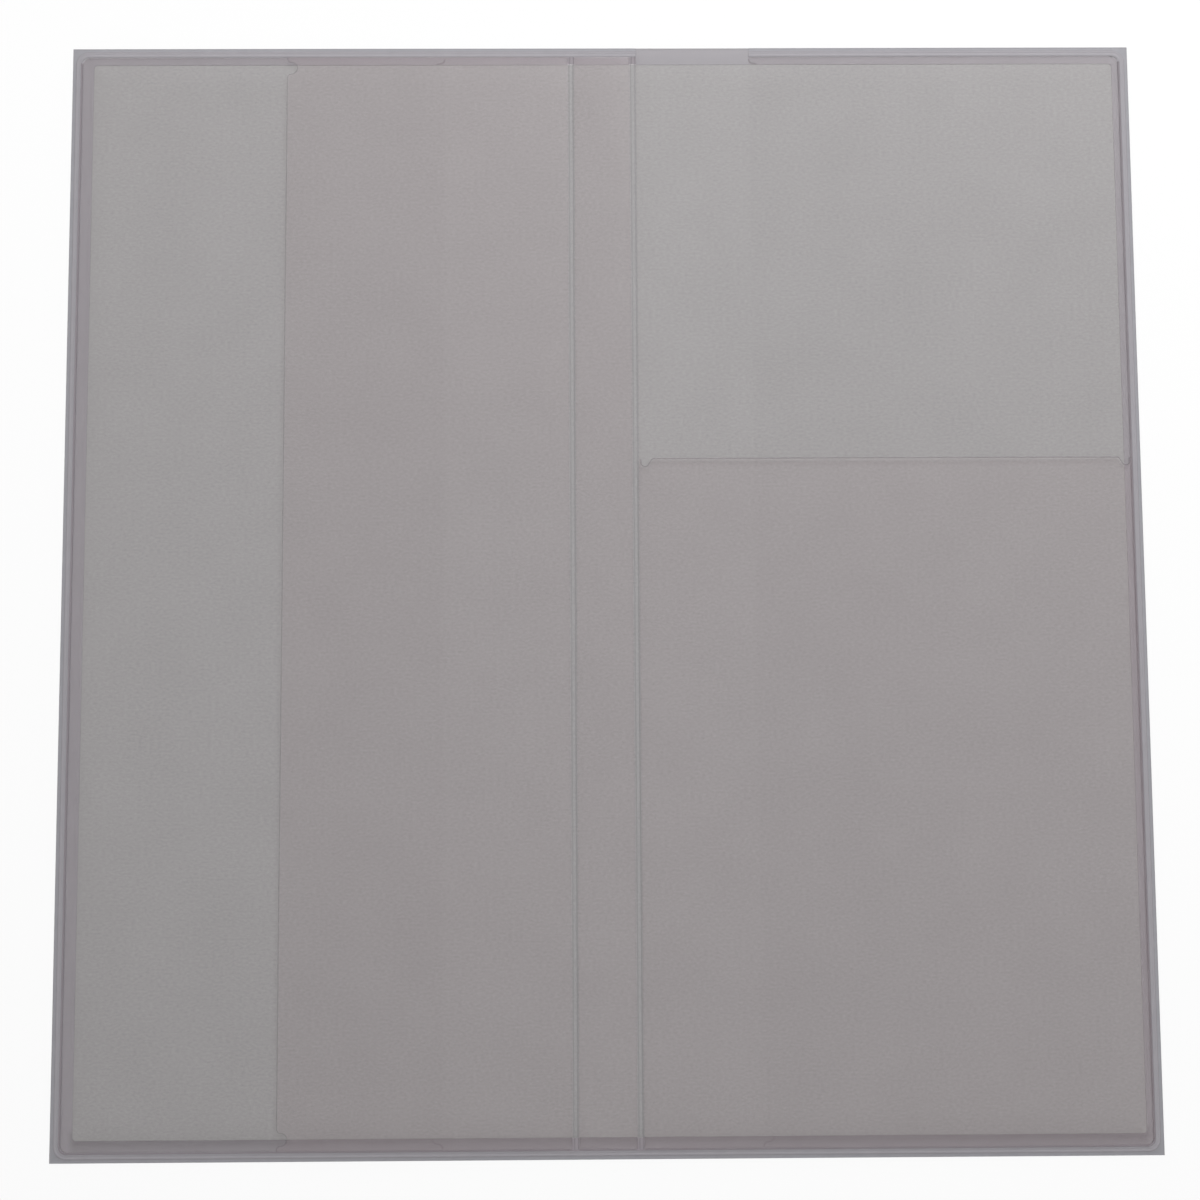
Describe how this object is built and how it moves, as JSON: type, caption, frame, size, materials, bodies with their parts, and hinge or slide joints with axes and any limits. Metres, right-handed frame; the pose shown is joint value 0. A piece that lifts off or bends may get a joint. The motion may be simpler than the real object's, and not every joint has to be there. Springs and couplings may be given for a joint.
{
  "type": "planner cover",
  "caption": "Clear vinyl slip-on cover for a slim planner, open flat with its outside up: welded edges, folding spine, outside pockets, inside flaps and a plain card insert.",
  "frame": {"origin": "centre of the open cover on the plane it lies on, midway along the spine", "axes": "+X from the back cover to the front cover, +Y towards the head, +Z out of the outside faces"},
  "size_m": [0.1882, 0.1942, 0.0012],
  "materials": {
    "clear_vinyl": "clear, soft gloss",
    "welded_vinyl": "clear, pressed",
    "card": "matt, fine grain"
  },
  "bodies": {
    "back_cover": {"back_cover_film": "clear_vinyl", "back_pocket_film": "clear_vinyl", "back_flap_film": "clear_vinyl", "back_insert": "card", "back_head_weld": "welded_vinyl", "back_side_weld": "welded_vinyl", "back_tail_weld": "welded_vinyl", "back_fold_weld": "welded_vinyl"},
    "spine": {"spine_film": "clear_vinyl", "spine_pocket_film": "clear_vinyl", "spine_insert": "card", "spine_head_weld": "welded_vinyl", "spine_tail_weld": "welded_vinyl", "front_fold_weld": "welded_vinyl"},
    "front_cover": {"front_cover_film": "clear_vinyl", "front_pocket_film": "clear_vinyl", "front_flap_film": "clear_vinyl", "front_insert": "card", "front_head_weld": "welded_vinyl", "front_side_weld": "welded_vinyl", "front_tail_weld": "welded_vinyl"}
  },
  "joints": [
    {"name": "back_fold", "type": "hinge", "parent": "back_cover", "child": "spine", "pos_m": [-0.0055, 0, 0.00075], "axis": [0, 1, 0], "range_deg": [-90, 90]},
    {"name": "front_fold", "type": "hinge", "parent": "spine", "child": "front_cover", "pos_m": [0.0055, 0, 0.00075], "axis": [0, 1, 0], "range_deg": [-90, 90]}
  ]
}
